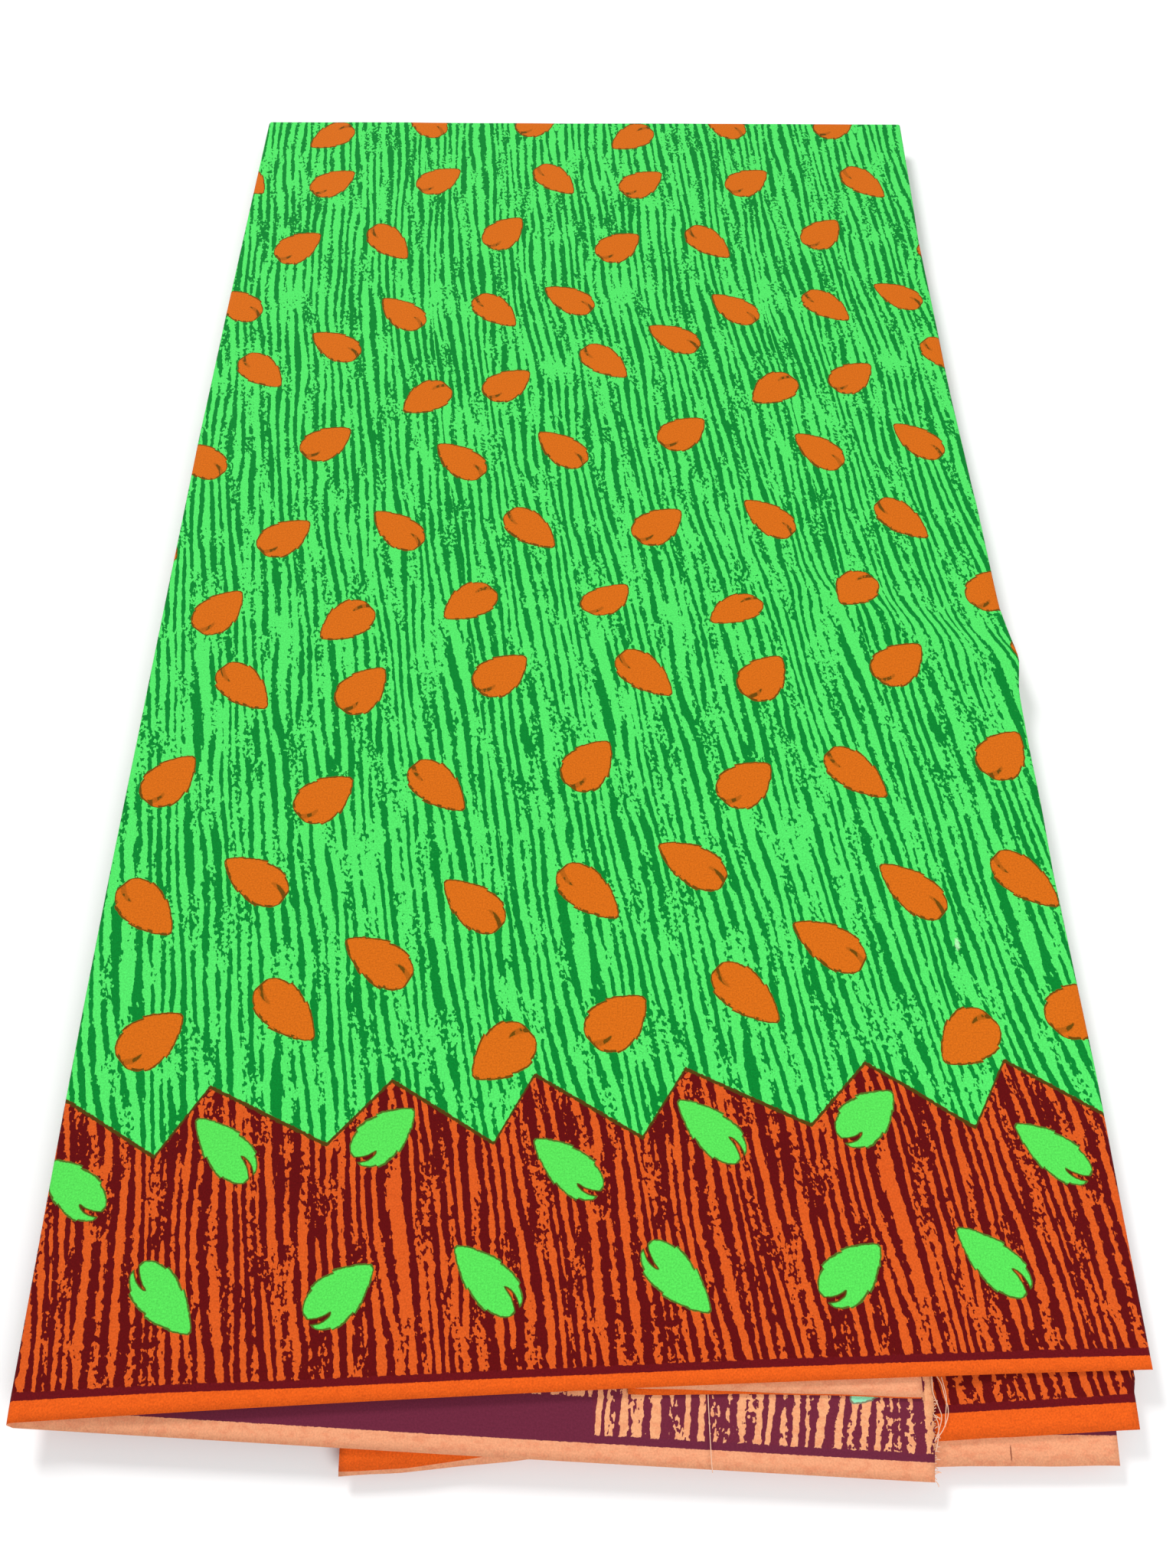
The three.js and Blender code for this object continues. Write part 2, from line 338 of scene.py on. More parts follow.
def cloth_mesh(name, rows, materials, printed_up=True, thickness=CLOTH):
    """rows holds rows of (x, y, z, u, v) in millimetres, and None where there is no cloth."""
    points = []
    index = {}
    for j, row in enumerate(rows):
        for i, p in enumerate(row):
            if p is not None:
                index[j, i] = len(points)
                points.append(p)
    faces = []
    for j in range(len(rows) - 1):
        for i in range(len(rows[j]) - 1):
            corners = [(j, i), (j, i + 1), (j + 1, i + 1), (j + 1, i)]
            if all(c in index for c in corners):
                face = [index[c] for c in corners]
                faces.append(face if printed_up else face[::-1])
    mesh = bpy.data.meshes.new(name)
    mesh.from_pydata([placed(*p[:3]) for p in points], [], faces)
    write_measures(mesh, lambda face, loop: points[mesh.loops[loop].vertex_index][3:5])
    mesh.shade_smooth()
    obj = new_object(name, mesh, materials)
    wall = obj.modifiers.new("cloth thickness", "SOLIDIFY")
    wall.thickness = thickness * MM
    wall.offset = 0
    wall.material_offset = 1
    wall.material_offset_rim = 1
    print(name, len(points), "points")
    return obj


# %% [markdown]
# ## Shader groups for the print
# Both faces of the cloth show the same print, one bright and one pale. So the stripes, the border,
# the leaves and the weave are node groups that give out masks, and each material colours them.

# %% A small helper for node trees


class Nodes:
    """Adds nodes to a tree and joins them, so that a tree reads like a formula."""

    def __init__(self, tree):
        self.tree = tree

    def add(self, kind, **settings):
        node = self.tree.nodes.new(kind)
        for key, value in settings.items():
            setattr(node, key, value)
        return node

    def put(self, socket, value):
        if isinstance(value, bpy.types.NodeSocket):
            self.tree.links.new(value, socket)
        elif value is not None:
            socket.default_value = value

    def math(self, operation, *values):
        node = self.add("ShaderNodeMath", operation=operation)
        for socket, value in zip(node.inputs, values):
            self.put(socket, value)
        return node.outputs[0]

    def plus(self, a, b):
        return self.math("ADD", a, b)

    def minus(self, a, b):
        return self.math("SUBTRACT", a, b)

    def times(self, a, b):
        return self.math("MULTIPLY", a, b)

    def over(self, a, b):
        return self.math("DIVIDE", a, b)

    def times_plus(self, a, b, c):
        """a times b, plus c."""
        return self.math("MULTIPLY_ADD", a, b, c)

    def step(self, value, low, high):
        node = self.add("ShaderNodeMapRange", interpolation_type="SMOOTHSTEP")
        for name, v in (("Value", value), ("From Min", low), ("From Max", high)):
            self.put(node.inputs[name], v)
        return node.outputs["Result"]

    def edge(self, value, soft):
        """1 where the value is above 0, with a soft edge."""
        return self.step(value, -soft, soft)

    def fade(self, value, low, high):
        """The reverse of a step: 1 below low and 0 above high."""
        return self.minus(1.0, self.step(value, low, high))

    def vector(self, x=0.0, y=0.0, z=0.0):
        node = self.add("ShaderNodeCombineXYZ")
        for socket, value in zip(node.inputs, (x, y, z)):
            self.put(socket, value)
        return node.outputs[0]

    def split(self, vector):
        node = self.add("ShaderNodeSeparateXYZ")
        self.put(node.inputs[0], vector)
        return node.outputs

    def noise(self, vector, detail=2.0, roughness=0.5):
        node = self.add("ShaderNodeTexNoise")
        self.put(node.inputs["Vector"], vector)
        self.put(node.inputs["Scale"], 1.0)
        self.put(node.inputs["Detail"], detail)
        self.put(node.inputs["Roughness"], roughness)
        return node.outputs["Fac"]

    def grain(self, x, y, wide, long, layer=0.0, detail=2.0, roughness=0.5):
        """Noise from 0 to 1 whose spots are wide along x and long along y, in metres."""
        place = self.vector(self.over(x, wide), self.over(y, long), layer)
        return self.noise(place, detail, roughness)

    def mix(self, factor, a, b):
        node = self.add("ShaderNodeMix", data_type="RGBA")
        self.put(node.inputs[0], factor)
        self.put(node.inputs[6], a)
        self.put(node.inputs[7], b)
        return node.outputs[2]


def new_tree(name, kind, inputs, outputs):
    """A node tree. inputs are (name, socket type, value), outputs are (name, socket type)."""
    tree = bpy.data.node_groups.new(name, kind)
    for label, socket_type, value in inputs:
        socket = tree.interface.new_socket(label, in_out="INPUT", socket_type=socket_type)
        if value is not None:
            socket.default_value = value
    for label, socket_type in outputs:
        tree.interface.new_socket(label, in_out="OUTPUT", socket_type=socket_type)
    nodes = Nodes(tree)
    start = nodes.add("NodeGroupInput")
    end = nodes.add("NodeGroupOutput")
    return tree, nodes, start.outputs, end.inputs


def new_group(name, inputs, outputs):
    return new_tree(name, "ShaderNodeTree", inputs, outputs)


FLOAT = "NodeSocketFloat"
VECTOR = "NodeSocketVector"

# %% [markdown]
# The stripes of wax print look like combed, cracked wax: they run almost with the weft at an even
# pitch, but each one swells and thins, its edges are ragged, and here and there a stretch breaks up
# into blots and specks. A cosine gives the pitch, a slow noise bends it, and quicker noises that
# are stretched along the stripes swell them and break them.

# %% Node group: combed wax stripes
# Noises of the stripes: metres across them, metres along them, layer, detail, roughness
BENDING = (0.020, 0.10, 1.0)
UNSTEADY = (0.0032, 0.011, 3.0)
BREAKING = (0.0075, 0.024, 5.0, 2.0)
FADING = (0.0048, 0.050, 7.0, 1.0)
SWELLING = (0.0024, 0.013, 9.0, 2.0, 0.6)
FRAYING = (0.0013, 0.0021, 13.0, 2.0, 0.5)
SPECKLING = (0.0012, 0.0016, 17.0, 1.0)
# How far the two slower noises move a stripe, in pitches
BENDING_TURNS = 3.4
UNSTEADY_TURNS = 0.2
# How much the even wave counts where the stripes are whole, and how much less where they break
WAVE = 0.27
WAVE_BROKEN = 0.21
FADE_STRENGTH = 0.75
STRIPE_EDGE = 0.02
stripes, g, inp, out = new_group(
    "combed_wax_stripes",
    [
        ("Cloth", VECTOR, None),
        ("Pitch", FLOAT, 0.0041),
        ("Cover", FLOAT, 0.46),
        ("Swelling", FLOAT, 0.8),
        ("Ragged", FLOAT, 0.68),
        ("Specks", FLOAT, 0.9),
    ],
    [("Dark", FLOAT)],
)
across, inward, lean = g.split(inp["Cloth"])
lean = g.math("WRAP", lean, REPEAT * MM, 0.0)


def streaks(wide, long, layer, detail=1.0, roughness=0.5):
    """Noise from -0.5 to 0.5, wide across the stripes and long along them, in metres."""
    return g.minus(g.grain(lean, inward, wide, long, layer, detail, roughness), 0.5)


turn = g.times_plus(streaks(*BENDING), BENDING_TURNS, g.over(lean, inp["Pitch"]))
turn = g.times_plus(streaks(*UNSTEADY), UNSTEADY_TURNS, turn)
pitch_wave = g.math("COSINE", g.times(turn, 2 * math.pi))
broken = g.step(streaks(*BREAKING), -0.04, 0.1)
kept = g.minus(WAVE, g.times(broken, WAVE_BROKEN))
value = g.times(pitch_wave, kept)
value = g.times_plus(streaks(*FADING), FADE_STRENGTH, value)
value = g.times_plus(streaks(*SWELLING), inp["Swelling"], value)
value = g.times_plus(streaks(*FRAYING), inp["Ragged"], value)
specks = g.times(streaks(*SPECKLING), broken)
value = g.times_plus(specks, inp["Specks"], value)
edge = g.minus(0.5, inp["Cover"])
g.put(out["Dark"], g.step(value, g.minus(edge, STRIPE_EDGE), g.plus(edge, STRIPE_EDGE)))
print(stripes.name, len(stripes.nodes), "nodes")

# %% [markdown]
# The border runs along the selvedge: first a plain strip, then a thin dark line, then stripes up to
# a zigzag of tall flames. The zigzag's height is a curve over one repeat. On the last stretch of
# the length there is also a plain dark band, where a maker's words would be; here it stays bare.

# %% Node group: selvedge, dark line, zigzag border and plain band
ZIGZAG = [(20, 73), (35, 95), (76, 75), (96, 95), (131, 73), (144, 95), (180, 73)]
TALLEST = 100.0
SOFT_EDGE = 0.0001
ROUGHNESS_SIZE = 0.0012
border, g, inp, out = new_group(
    "selvedge_border",
    [
        ("Cloth", VECTOR, None),
        ("Selvedge width", FLOAT, 0.0044),
        ("Dark line", FLOAT, 0.0022),
        ("Zigzag line", FLOAT, 0.0008),
        ("Band from", FLOAT, -0.172),
        ("Band to", FLOAT, -0.362),
        ("Band height", FLOAT, 0.0158),
    ],
    [("Selvedge", FLOAT), ("Line", FLOAT), ("Border", FLOAT), ("Zigzag edge", FLOAT), ("Band", FLOAT)],
)
u, v = g.split(inp["Cloth"])[:2]
past_valley = g.math("WRAP", g.minus(u, ZIGZAG[0][0] * MM), REPEAT * MM, 0.0)
share = g.over(past_valley, REPEAT * MM)
flames = g.add("ShaderNodeFloatCurve")
curve = flames.mapping.curves[0]
flame_points = [((place - ZIGZAG[0][0]) / REPEAT, height / TALLEST) for place, height in ZIGZAG]
while len(curve.points) < len(flame_points):
    curve.points.new(0.5, 0.5)
for point, place in zip(curve.points, flame_points):
    point.location = place
    point.handle_type = "VECTOR"
flames.mapping.update()
g.put(flames.inputs["Value"], share)
rough = g.grain(u, v, ROUGHNESS_SIZE, ROUGHNESS_SIZE)
rough = g.times(g.minus(rough, 0.5), ROUGHNESS_SIZE)
height = g.times_plus(flames.outputs["Value"], TALLEST * MM, rough)
below = g.minus(height, v)
g.put(out["Border"], g.edge(below, SOFT_EDGE))
off_line = g.math("ABSOLUTE", below)
line_core = g.times(inp["Zigzag line"], 0.6)
g.put(out["Zigzag edge"], g.fade(off_line, line_core, inp["Zigzag line"]))
thin_rough = g.times(rough, 0.35)
strip = g.plus(inp["Selvedge width"], thin_rough)
g.put(out["Selvedge"], g.edge(g.minus(strip, v), SOFT_EDGE))
line_top = g.plus(g.plus(inp["Selvedge width"], inp["Dark line"]), rough)
g.put(out["Line"], g.edge(g.minus(line_top, v), SOFT_EDGE))
before_end = g.math("GREATER_THAN", u, inp["Band to"])
in_band = g.times(g.math("LESS_THAN", u, inp["Band from"]), before_end)
band_low = g.math("LESS_THAN", v, g.plus(inp["Band height"], rough))
g.put(out["Band"], g.times(in_band, band_low))
print(border.name, len(border.nodes), "nodes")

# %% [markdown]
# A leaf is drawn in its own measure: -1 at its blunt end, 1 at its tip. Its half width is a formula
# of that measure, with small steps where the cutter's knife turned. A curved slit runs in from the
# blunt end. In the border it is open, so the ground shows through it. In the field the stripes were
# printed by another block, whose leaf shape is a little off: so stripes run over the leaf along one
# side and in the slit.

# %% Node group: printed leaf
BLUNT_POWER = 0.5
TIP_POWER = 0.82
LEAF_END = 0.97
FIRST_TEETH = (0.15, -0.02)
TOOTH_SPACING = 0.62
TEETH_FADE = (0.72, 0.45)
SLIT_BEND = -0.54
SLIT_CURVE = 0.94
SLIT_MIDDLE = -0.18
BUMP_SIZE = 0.0016
BUMP_DEPTH = 0.07
LEAF_EDGE = 0.006
leaf_group, g, inp, out = new_group(
    "printed_leaf",
    [
        ("Leaf", VECTOR, None),
        ("Slip", VECTOR, None),
        ("Cloth", VECTOR, None),
        ("Field half width", FLOAT, 0.615),
        ("Border half width", FLOAT, 0.53),
        ("Step depth", FLOAT, 0.055),
        ("Outline", FLOAT, 0.058),
        ("Slit end", FLOAT, -0.44),
        ("Slit width", FLOAT, 0.08),
    ],
    [
        ("Fill", FLOAT), ("Outline", FLOAT), ("Open slit", FLOAT), ("Closed slit", FLOAT),
        ("Overlap", FLOAT), ("Kind", FLOAT),
    ],
)
x, y, code = g.split(inp["Leaf"])
kind = g.math("FLOOR", code)
field_kind = g.minus(1.0, kind)
half_width = g.minus(inp["Border half width"], inp["Field half width"])
half_width = g.times_plus(kind, half_width, inp["Field half width"])
u, v = g.split(inp["Cloth"])[:2]
bumps = g.grain(u, v, BUMP_SIZE, BUMP_SIZE, 5.0, 2.0, 0.6)
bumps = g.times(g.minus(bumps, 0.5), BUMP_DEPTH)


def leaf_steps(x, first):
    """Small teeth along one side: the outline steps in, then swells out again."""
    tooth = g.math("FRACT", g.over(g.minus(x, first), TOOTH_SPACING))
    tooth = g.minus(0.5, tooth)
    return g.times(tooth, g.step(x, *TEETH_FADE))


def whole_leaf(x, y):
    """How far inside a whole leaf a place is, in the leaf's own measure."""
    blunt = g.math("POWER", g.math("MAXIMUM", g.plus(x, 1.0), 0.0), BLUNT_POWER)
    tip = g.math("POWER", g.math("MAXIMUM", g.minus(1.0, x), 0.0), TIP_POWER)
    half = g.times(g.times(blunt, tip), half_width)
    upper = g.math("GREATER_THAN", y, 0.0)
    one, other = (leaf_steps(x, first) for first in FIRST_TEETH)
    steps = g.times_plus(upper, g.minus(one, other), other)
    half = g.times_plus(steps, inp["Step depth"], g.plus(half, bumps))
    inside = g.minus(half, g.math("ABSOLUTE", y))
    ends = g.minus(LEAF_END, g.math("ABSOLUTE", x))
    return g.math("MINIMUM", inside, ends)


def off_slit(x, y):
    """How far outside the curved slit a place is."""
    from_bend = g.minus(x, SLIT_BEND)
    middle = g.times_plus(g.times(from_bend, from_bend), SLIT_CURVE, SLIT_MIDDLE)
    across_slit = g.minus(y, middle)
    past = g.math("MAXIMUM", g.minus(x, inp["Slit end"]), 0.0)
    deep = g.math("MAXIMUM", g.minus(inp["Slit end"], x), 0.0)
    share = g.over(deep, g.plus(1.0, inp["Slit end"]))
    wide = g.times(g.math("POWER", share, 0.5), inp["Slit width"])
    squares = g.times_plus(past, past, g.times(across_slit, across_slit))
    return g.minus(g.math("SQRT", squares), g.times_plus(bumps, 0.5, wide))


slip_x, slip_y = g.split(inp["Slip"])[:2]
inside = whole_leaf(x, y)
beside_slit = off_slit(x, y)
fill = g.edge(inside, LEAF_EDGE)
in_slit = g.fade(beside_slit, -LEAF_EDGE, LEAF_EDGE)
rim = g.fade(inside, g.times(inp["Outline"], 0.5), inp["Outline"])
lip = g.fade(g.math("ABSOLUTE", beside_slit), 0.012, 0.032)
lip = g.times(lip, g.times_plus(kind, 0.7, 0.3))
hole = whole_leaf(g.minus(x, slip_x), g.minus(y, slip_y))
overlap = g.fade(hole, -0.01, 0.02)
g.put(out["Fill"], fill)
open_slit = g.times(in_slit, kind)
rim = g.times(rim, g.minus(1.0, open_slit))
g.put(out["Outline"], g.times(fill, g.math("MAXIMUM", rim, lip)))
g.put(out["Open slit"], open_slit)
g.put(out["Closed slit"], g.times(in_slit, field_kind))
g.put(out["Overlap"], g.times(overlap, field_kind))
g.put(out["Kind"], kind)
print(leaf_group.name, len(leaf_group.nodes), "nodes")

# %% [markdown]
# Plain weave is far finer than the print. Two fine waves, one for each set of yarns, give a small
# height, and a noise gives the flecks where the dye took unevenly.

# %% Node group: plain weave
MOTTLE = (0.004, 0.0022, 2.0, 3.0, 0.65)
weave, g, inp, out = new_group(
    "plain_weave",
    [("Cloth", VECTOR, None), ("Yarn spacing", FLOAT, 0.0005), ("Fleck size", FLOAT, 0.0006)],
    [("Height", FLOAT), ("Fleck", FLOAT), ("Mottle", FLOAT)],
)
u, v = g.split(inp["Cloth"])[:2]
turns = g.over(2 * math.pi, inp["Yarn spacing"])
warp = g.math("SINE", g.times(u, turns))
weft = g.math("SINE", g.times(v, turns))
fleck = g.grain(u, v, inp["Fleck size"], inp["Fleck size"], 0.0, 2.0, 0.7)
g.put(out["Height"], g.times_plus(g.times(warp, weft), 0.3, fleck))
g.put(out["Fleck"], fleck)
g.put(out["Mottle"], g.grain(u, v, *MOTTLE))
print(weave.name, len(weave.nodes), "nodes")

# %% [markdown]
# Two small marks show: a bleached fleck on the printed side, and a sharp dark line on the wrong
# side that is the painted shade of a small crease. Each is a ragged oval at its own place on
# the cloth.

# %% Node group: a fleck and a painted crease shade
fleck_and_crease_shade, g, inp, out = new_group(
    "fleck_and_crease_shade_marks",
    [
        ("Cloth", VECTOR, None),
        ("Fleck place", VECTOR, (0.1338, 0.1365, 0.0)),
        ("Fleck size", VECTOR, (0.0011, 0.0027, 1.0)),
        ("Crease place", VECTOR, (1.1007, -0.0006, 0.0)),
        ("Crease size", VECTOR, (0.0003, 0.0028, 1.0)),
    ],
    [("Mark", FLOAT)],
)
u, v = g.split(inp["Cloth"])[:2]
here = g.vector(u, v, 0.0)
ragged_edge = g.grain(u, v, 0.0006, 0.0012, 8.0)


def oval_mark(place, size):
    """A mask that is 1 within a ragged oval."""
    away = g.add("ShaderNodeVectorMath", operation="SUBTRACT")
    g.put(away.inputs[0], here)
    g.put(away.inputs[1], place)
    scaled = g.add("ShaderNodeVectorMath", operation="DIVIDE")
    g.put(scaled.inputs[0], away.outputs[0])
    g.put(scaled.inputs[1], size)
    length = g.add("ShaderNodeVectorMath", operation="LENGTH")
    g.put(length.inputs[0], scaled.outputs[0])
    reach = g.plus(length.outputs["Value"], ragged_edge)
    return g.fade(reach, 1.0, 1.5)


fleck_mark = oval_mark(inp["Fleck place"], inp["Fleck size"])
# The crease line is painted shade: a dark line where a small crease would be shaded, on a flap that is
# flat there.
crease_shade_mask = oval_mark(inp["Crease place"], inp["Crease size"])
g.put(out["Mark"], g.times(g.math("MAXIMUM", fleck_mark, crease_shade_mask), 0.8))
print(fleck_and_crease_shade.name, len(fleck_and_crease_shade.nodes), "nodes")

# %% [markdown]
# ## The two faces of the cloth
# The printed side takes the full dye. On the wrong side it only came through, so the same masks
# pick paler colours. Cotton is matt, with a faint sheen.

# %% Materials


STUDIO_GAIN = 1.2


def dye(red, green, blue):
    """A colour from 0 to 255 as a screen shows it in this studio's light, as linear values."""
    def linear(c):
        c = c / 255
        c = c / 12.92 if c <= 0.04045 else ((c + 0.055) / 1.055) ** 2.4
        return c / STUDIO_GAIN
    return (linear(red), linear(green), linear(blue), 1.0)


FIELD_COVER = 0.46
BORDER_COVER = 0.54
OVERPRINT = 0.88
COTTON = {"Roughness": 0.85, "Specular IOR Level": 0.08, "Sheen Weight": 0.02}
WEAVE_BUMP = {"Strength": 0.25, "Distance": 0.0001}


def print_material(name, colours, fleck_strength, mottle_strength, slot_colour):
    material = bpy.data.materials.new(name)
    material.use_nodes = True
    material.diffuse_color = slot_colour
    tree = material.node_tree
    shader = tree.nodes["Principled BSDF"]
    m = Nodes(tree)

    def group(tree_of_group, **values):
        node = m.add("ShaderNodeGroup", node_tree=tree_of_group)
        for key, value in values.items():
            m.put(node.inputs[key.replace("_", " ")], value)
        return node.outputs

    cloth = m.add("ShaderNodeAttribute", attribute_name="cloth").outputs["Vector"]
    leaf = m.add("ShaderNodeAttribute", attribute_name="leaf").outputs["Vector"]
    slip = m.add("ShaderNodeAttribute", attribute_name="slip").outputs["Vector"]
    edge = group(border, Cloth=cloth)
    cover = m.times_plus(edge["Border"], BORDER_COVER - FIELD_COVER, FIELD_COVER)
    dark = group(stripes, Cloth=cloth, Cover=cover)["Dark"]
    drawn = group(leaf_group, Leaf=leaf, Slip=slip, Cloth=cloth)
    threads = group(weave, Cloth=cloth)

    uneven = m.times(m.step(threads["Mottle"], 0.42, 0.68), mottle_strength)
    warm_ground = m.mix(uneven, colours["border"], colours["mottle"])
    warm_strip = m.mix(uneven, colours["selvedge"], colours["mottle"])
    field = m.mix(dark, colours["field"], colours["field stripe"])
    ground = m.mix(dark, warm_ground, colours["border stripe"])
    colour = m.mix(edge["Border"], field, ground)
    colour = m.mix(edge["Zigzag edge"], colour, colours["zigzag edge"])
    leaf_colour = m.mix(drawn["Kind"], colours["field leaf"], colours["border leaf"])
    whole = m.times(drawn["Fill"], m.minus(1.0, drawn["Open slit"]))
    colour = m.mix(whole, colour, leaf_colour)
    over = m.times(drawn["Overlap"], dark)
    stroke = m.times(drawn["Closed slit"], m.times_plus(dark, 0.6, 0.4))
    over = m.math("MAXIMUM", over, stroke)
    inked = m.math("MAXIMUM", drawn["Outline"], m.times(over, drawn["Fill"]))
    colour = m.mix(m.times(inked, OVERPRINT), colour, colours["outline"])
    colour = m.mix(m.math("MAXIMUM", edge["Line"], edge["Band"]), colour, colours["dark line"])
    colour = m.mix(edge["Selvedge"], colour, warm_strip)
    fleck_and_crease_shade_masks = group(fleck_and_crease_shade, Cloth=cloth)
    # Paints the pale fleck and the painted shade of the crease line.
    colour = m.mix(fleck_and_crease_shade_masks["Mark"], colour, colours["fleck_and_crease_shade"])
    shade = m.add("ShaderNodeMapRange")
    m.put(shade.inputs["Value"], threads["Fleck"])
    span = {"From Min": 0.3, "From Max": 0.7, "To Min": 1 - fleck_strength, "To Max": 1 + fleck_strength}
    for label, value in span.items():
        m.put(shade.inputs[label], value)
    flecked = m.add("ShaderNodeVectorMath", operation="SCALE")
    m.put(flecked.inputs[0], colour)
    m.put(flecked.inputs["Scale"], shade.outputs["Result"])
    m.put(shader.inputs["Base Color"], flecked.outputs[0])
    bump = m.add("ShaderNodeBump")
    for label, value in WEAVE_BUMP.items():
        m.put(bump.inputs[label], value)
    m.put(bump.inputs["Height"], threads["Height"])
    m.put(shader.inputs["Normal"], bump.outputs["Normal"])
    for label, value in COTTON.items():
        m.put(shader.inputs[label], value)
    return material


printed_side = print_material(
    "printed_side",
    {
        "field": dye(84, 233, 106),
        "field stripe": dye(0, 134, 47),
        "border": dye(222, 92, 30),
        "border stripe": dye(99, 7, 9),
        "zigzag edge": dye(84, 62, 10),
        "field leaf": dye(216, 108, 18),
        "border leaf": dye(88, 226, 88),
        "outline": dye(80, 64, 2),
        "dark line": dye(106, 12, 20),
        "selvedge": dye(238, 97, 24),
        "mottle": dye(206, 76, 16),
        # On the printed side this colour paints the pale fleck.
        "fleck_and_crease_shade": dye(190, 246, 190),
    },
    0.2, 0.25, dye(84, 236, 108),
)
wrong_side = print_material(
    "wrong_side",
    {
        "field": dye(150, 230, 180),
        "field stripe": dye(70, 130, 110),
        "border": dye(245, 172, 124),
        "border stripe": dye(114, 38, 58),
        "zigzag edge": dye(96, 50, 60),
        "field leaf": dye(240, 160, 110),
        "border leaf": dye(150, 230, 185),
        "outline": dye(130, 100, 80),
        "dark line": dye(110, 38, 60),
        "selvedge": dye(243, 166, 124),
        "mottle": dye(226, 126, 88),
        # On the wrong side this colour is the painted shade of the crease line.
        "fleck_and_crease_shade": dye(120, 52, 40),
    },
    0.13, 0.4, dye(243, 166, 124),
)
FACES_UP = [printed_side, wrong_side]

# %% [markdown]
# ## The top cloth and the end flap
# The top of the pile and the end flap are one stretch of cloth: it turns under through the left
# fold and comes back below. The right side and the back turn under too, into layers that are
# hidden. So one grid runs from the right fold, across the top, round the left fold, and on into
# the flap, where only the front rows are made, because the rest of it can't be seen.

# %% Build the folded length
STEP = 3.0
FOLD_RADIUS = 1.3
FOLD_STEPS = 6
LIP = 1.6
FLAP_START = -168.0
FLAP_END = 104.5
FLAP_SLANT = 2.7
FLAP_DEPTH = 33.0
FLAP_SLIP = -13.8
FLAP_SLIP_FROM, FLAP_SLIP_TO = -160, -60
FLAP_EASE = 14
FLAP_TRIM = 0.7
# Near the cut end the border of the flap lies a little askew
END_ASKEW = {"depth": 2.1, "lift": 0.8, "x1": 45, "x2": 85, "v1": 9, "v2": 18}
ROLL_TURNS = [0.35, 0.7, 1.05, 1.4, 1.75]
PLAIN_STRIP = 4.4
MIDDLE = TOP_LEVEL - CLOTH / 2
FLAP_FRONT = [(-180, -299.4), (-166.3, -300.1), (-40, -306.8), (104, -314.0)]


def ripple(x, y):
    """Small unevenness of hand folding, under half a millimetre."""
    broad = noise.noise(Vector((x / 55, y / 70, 0.3)))
    small = noise.noise(Vector((x / 21, y / 26, 4.1)))
    return 0.22 * broad + 0.08 * small


def selvedge_width(x):
    """The plain strip is trimmed a little wider at the left."""
    return along([(-174, 5.8), (-126, 5.4), (-85, 4.5), (7, 4.1), (174, 3.9)], x)


